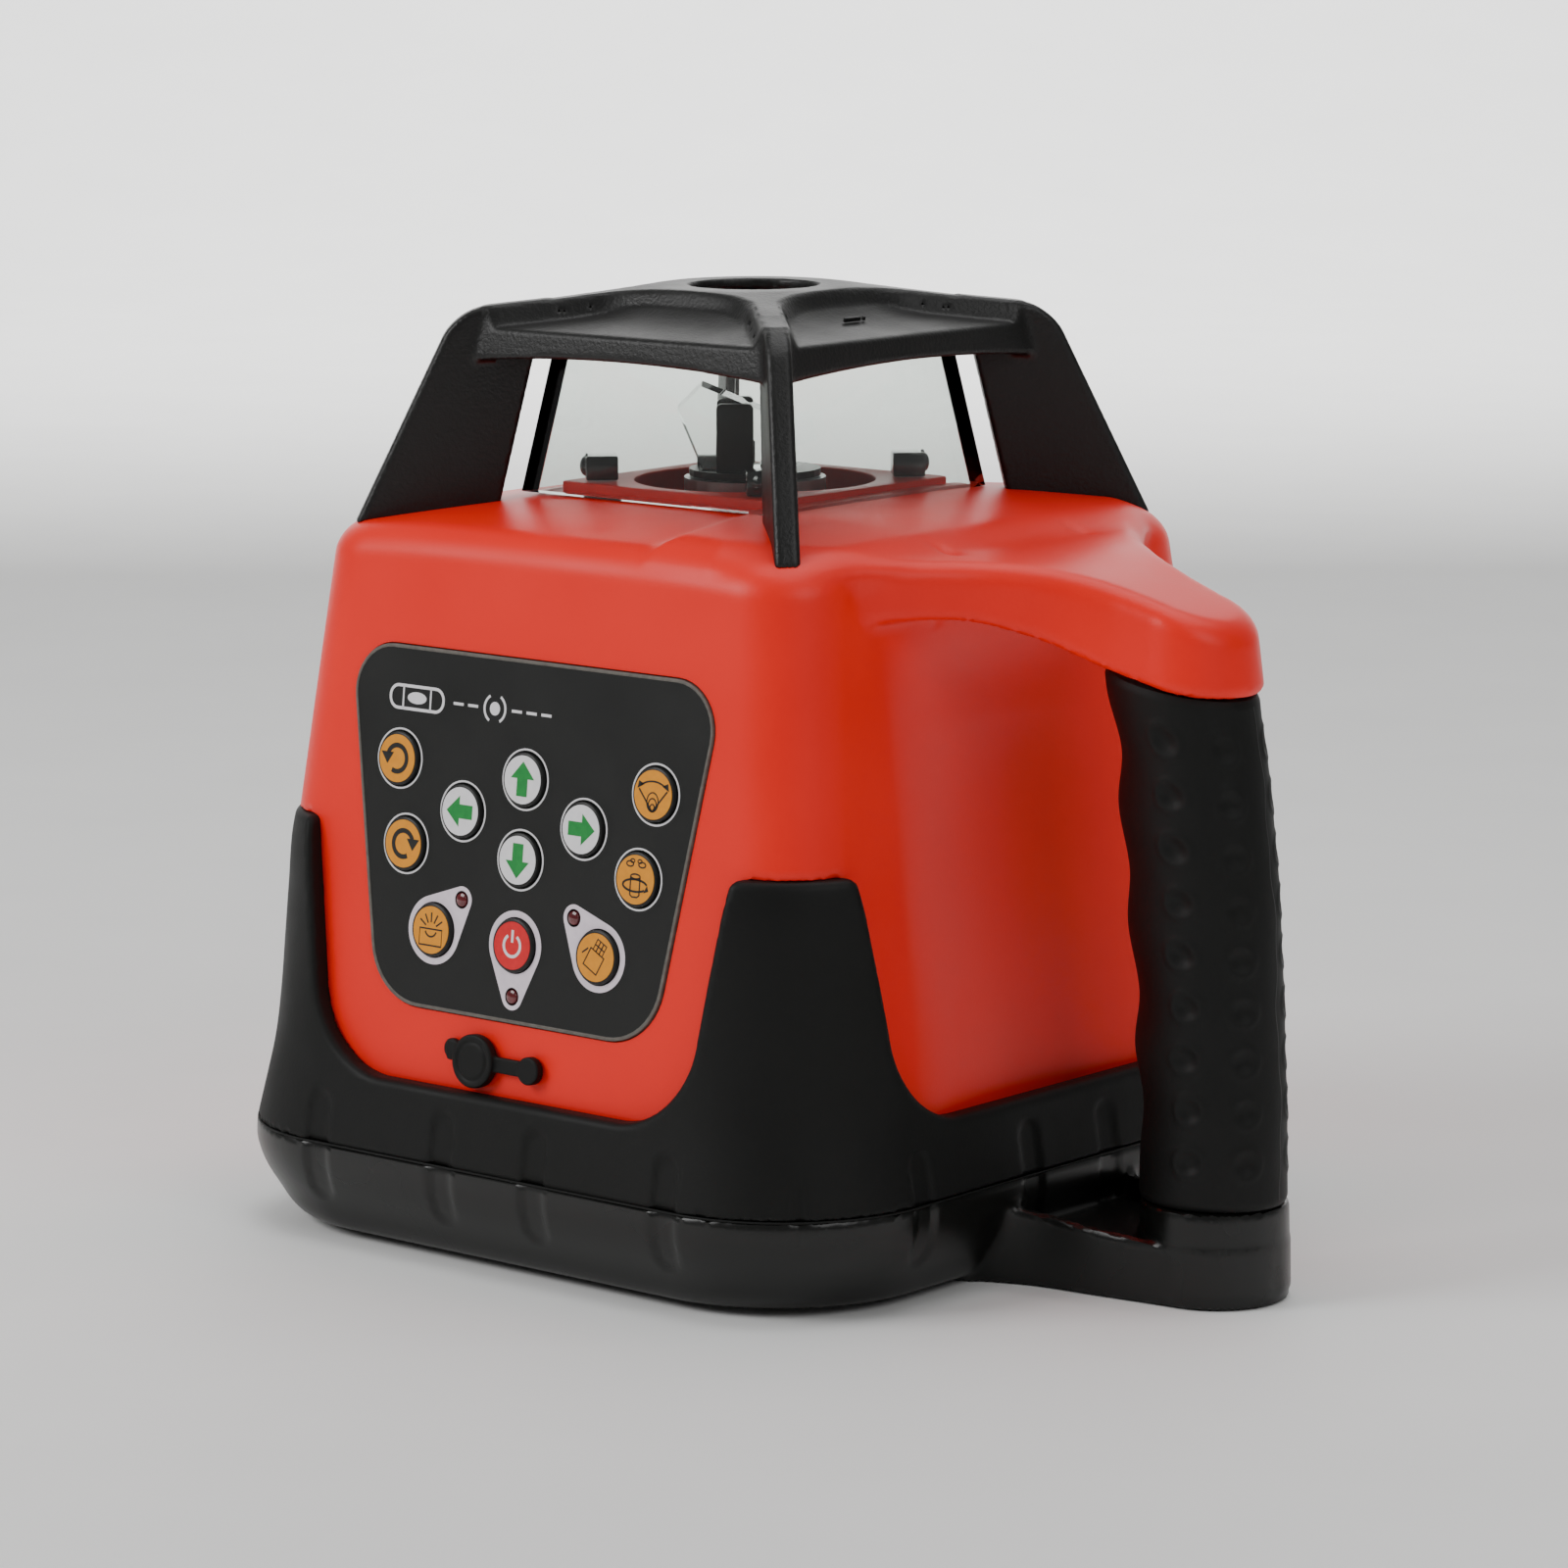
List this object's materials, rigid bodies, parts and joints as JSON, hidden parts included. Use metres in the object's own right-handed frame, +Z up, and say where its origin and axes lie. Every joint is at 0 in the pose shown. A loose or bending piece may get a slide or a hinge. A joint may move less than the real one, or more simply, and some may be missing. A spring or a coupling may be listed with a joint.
{
  "type": "rotating laser level",
  "caption": "Self-levelling rotary laser level: orange housing on a rubber-booted base, glazed rotor head under a cage, side handle.",
  "frame": {"origin": "middle of the footprint on the rest plane, halfway between the handle foot's end and the far side of the base; the rotor axis is 24 mm towards -X", "axes": "+Z up along the rotor axis, +X towards the handle, -Y out of the keypad face"},
  "size_m": [0.208, 0.16, 0.185],
  "materials": {
    "orange_abs": "moulded, fine spark-eroded grain",
    "black_rubber": "moulded matte",
    "black_plastic": "moulded, satin grain",
    "panel_film": "printed keypad film",
    "receiver_plastic": "infrared-clear black moulding",
    "key_amber": "printed key",
    "key_green": "printed key",
    "key_white": "printed key",
    "lamp_red": "tinted lamp lens",
    "clear_glass": "polished",
    "brass": "turned",
    "steel": "drawn and ground",
    "aluminium": "machined",
    "circuit_board": "solder mask",
    "battery_wrap": "shrink wrap"
  },
  "bodies": {
    "instrument": {"main_housing": "orange_abs", "rubber_boot": "black_rubber", "foot_pad_1": "black_rubber", "foot_pad_2": "black_rubber", "foot_pad_3": "black_rubber", "foot_pad_4": "black_rubber", "grip_sleeve": "black_rubber", "cap_anchor": "black_rubber", "base_shell": "black_plastic", "head_cage": "black_plastic", "grip_core": "black_plastic", "charge_socket": "black_plastic", "keypad_panel": "panel_film", "ir_receiver_1": "receiver_plastic", "ir_receiver_2": "receiver_plastic", "ir_receiver_3": "receiver_plastic", "ir_receiver_4": "receiver_plastic", "lamp_tilt": "lamp_red", "lamp_alarm": "lamp_red", "lamp_power": "lamp_red", "window_front": "clear_glass", "window_right": "clear_glass", "window_back": "clear_glass", "window_left": "clear_glass", "tripod_insert": "brass", "level_motor_x": "steel", "level_motor_y": "steel", "chassis": "aluminium", "main_board": "circuit_board", "keypad_board": "circuit_board", "battery_pack": "battery_wrap"},
    "gimbal": {"gimbal_ring": "aluminium"},
    "laser": {"laser_core": "aluminium", "laser_module": "brass", "level_vial_x": "clear_glass", "level_vial_y": "clear_glass", "rotor_bearing": "steel", "rotor_motor": "steel", "drive_belt": "black_rubber"},
    "rotor": {"rotor_hub": "aluminium", "prism_bracket": "black_plastic", "pentaprism": "clear_glass"},
    "belt_pulley": {"motor_pulley": "brass"},
    "nut_x": {"level_nut_x": "brass"},
    "nut_y": {"level_nut_y": "brass"},
    "screw_x": {"level_screw_x": "steel"},
    "screw_y": {"level_screw_y": "steel"},
    "cap": {"charge_cap": "black_rubber"},
    "door": {"battery_door": "black_plastic"},
    "key_turn_left_body": {"key_turn_left": "key_amber"},
    "key_scan_body": {"key_scan": "key_amber"},
    "key_turn_right_body": {"key_turn_right": "key_amber"},
    "key_speed_body": {"key_speed": "key_amber"},
    "key_left_body": {"key_left": "key_green"},
    "key_right_body": {"key_right": "key_green"},
    "key_up_body": {"key_up": "key_green"},
    "key_down_body": {"key_down": "key_green"},
    "key_tilt_body": {"key_tilt": "key_white"},
    "key_alarm_body": {"key_alarm": "key_white"},
    "key_power_body": {"key_power": "key_white"}
  },
  "joints": [
    {"name": "tilt_x", "type": "hinge", "parent": "instrument", "child": "gimbal", "pos_m": [-0.024, 0, 0.095], "axis": [1, 0, 0], "range_deg": [-5, 5]},
    {"name": "tilt_y", "type": "hinge", "parent": "gimbal", "child": "laser", "pos_m": [-0.024, 0, 0.095], "axis": [0, 1, 0], "range_deg": [-5, 5]},
    {"name": "rotor_spin", "type": "hinge", "parent": "laser", "child": "rotor", "pos_m": [-0.024, 0, 0.147], "axis": [0, 0, 1], "continuous": true},
    {"name": "motor_pulley_spin", "type": "hinge", "parent": "laser", "child": "belt_pulley", "pos_m": [-0.054, -0.03, 0.111], "axis": [0, 0, 1], "continuous": true},
    {"name": "nut_x_slide", "type": "slide", "parent": "instrument", "child": "nut_x", "axis": [0, 0, 1], "range_m": [-0.0036, 0.0036]},
    {"name": "nut_y_slide", "type": "slide", "parent": "instrument", "child": "nut_y", "axis": [0, 0, 1], "range_m": [-0.0036, 0.0036]},
    {"name": "screw_x_turn", "type": "hinge", "parent": "instrument", "child": "screw_x", "pos_m": [0.016, 0, 0.05], "axis": [0, 0, 1], "range_deg": [-628.5, 628.5]},
    {"name": "screw_y_turn", "type": "hinge", "parent": "instrument", "child": "screw_y", "pos_m": [-0.024, 0.04, 0.05], "axis": [0, 0, 1], "range_deg": [-628.5, 628.5]},
    {"name": "charge_cap_swing", "type": "hinge", "parent": "instrument", "child": "cap", "pos_m": [-0.0212, -0.07375, 0.04051], "axis": [0, 0.107, 0.9943], "range_deg": [0, 100], "stiffness_Nm_per_rad": 0.0005},
    {"name": "battery_door_swing", "type": "hinge", "parent": "instrument", "child": "door", "pos_m": [-0.0894, 0, 0.0026], "axis": [0, 1, 0], "range_deg": [0, 100]},
    {"name": "key_turn_left_press", "type": "slide", "parent": "instrument", "child": "key_turn_left_body", "axis": [0, 0.9943, -0.107], "range_m": [0, 0.0005], "stiffness_N_per_m": 300},
    {"name": "key_scan_press", "type": "slide", "parent": "instrument", "child": "key_scan_body", "axis": [0, 0.9943, -0.107], "range_m": [0, 0.0005], "stiffness_N_per_m": 300},
    {"name": "key_turn_right_press", "type": "slide", "parent": "instrument", "child": "key_turn_right_body", "axis": [0, 0.9943, -0.107], "range_m": [0, 0.0005], "stiffness_N_per_m": 300},
    {"name": "key_speed_press", "type": "slide", "parent": "instrument", "child": "key_speed_body", "axis": [0, 0.9943, -0.107], "range_m": [0, 0.0005], "stiffness_N_per_m": 300},
    {"name": "key_left_press", "type": "slide", "parent": "instrument", "child": "key_left_body", "axis": [0, 0.9943, -0.107], "range_m": [0, 0.0005], "stiffness_N_per_m": 300},
    {"name": "key_right_press", "type": "slide", "parent": "instrument", "child": "key_right_body", "axis": [0, 0.9943, -0.107], "range_m": [0, 0.0005], "stiffness_N_per_m": 300},
    {"name": "key_up_press", "type": "slide", "parent": "instrument", "child": "key_up_body", "axis": [0, 0.9943, -0.107], "range_m": [0, 0.0005], "stiffness_N_per_m": 300},
    {"name": "key_down_press", "type": "slide", "parent": "instrument", "child": "key_down_body", "axis": [0, 0.9943, -0.107], "range_m": [0, 0.0005], "stiffness_N_per_m": 300},
    {"name": "key_tilt_press", "type": "slide", "parent": "instrument", "child": "key_tilt_body", "axis": [0, 0.9943, -0.107], "range_m": [0, 0.0005], "stiffness_N_per_m": 300},
    {"name": "key_alarm_press", "type": "slide", "parent": "instrument", "child": "key_alarm_body", "axis": [0, 0.9943, -0.107], "range_m": [0, 0.0005], "stiffness_N_per_m": 300},
    {"name": "key_power_press", "type": "slide", "parent": "instrument", "child": "key_power_body", "axis": [0, 0.9943, -0.107], "range_m": [0, 0.0005], "stiffness_N_per_m": 300}
  ],
  "couplings": [
    {"joint": "motor_pulley_spin", "follows": "rotor_spin", "ratio": 4.25},
    {"joint": "screw_x_turn", "follows": "tilt_y", "ratio": -125.66},
    {"joint": "nut_x_slide", "follows": "tilt_y", "m_per_rad": -0.04},
    {"joint": "screw_y_turn", "follows": "tilt_x", "ratio": 125.66},
    {"joint": "nut_y_slide", "follows": "tilt_x", "m_per_rad": 0.04}
  ]
}
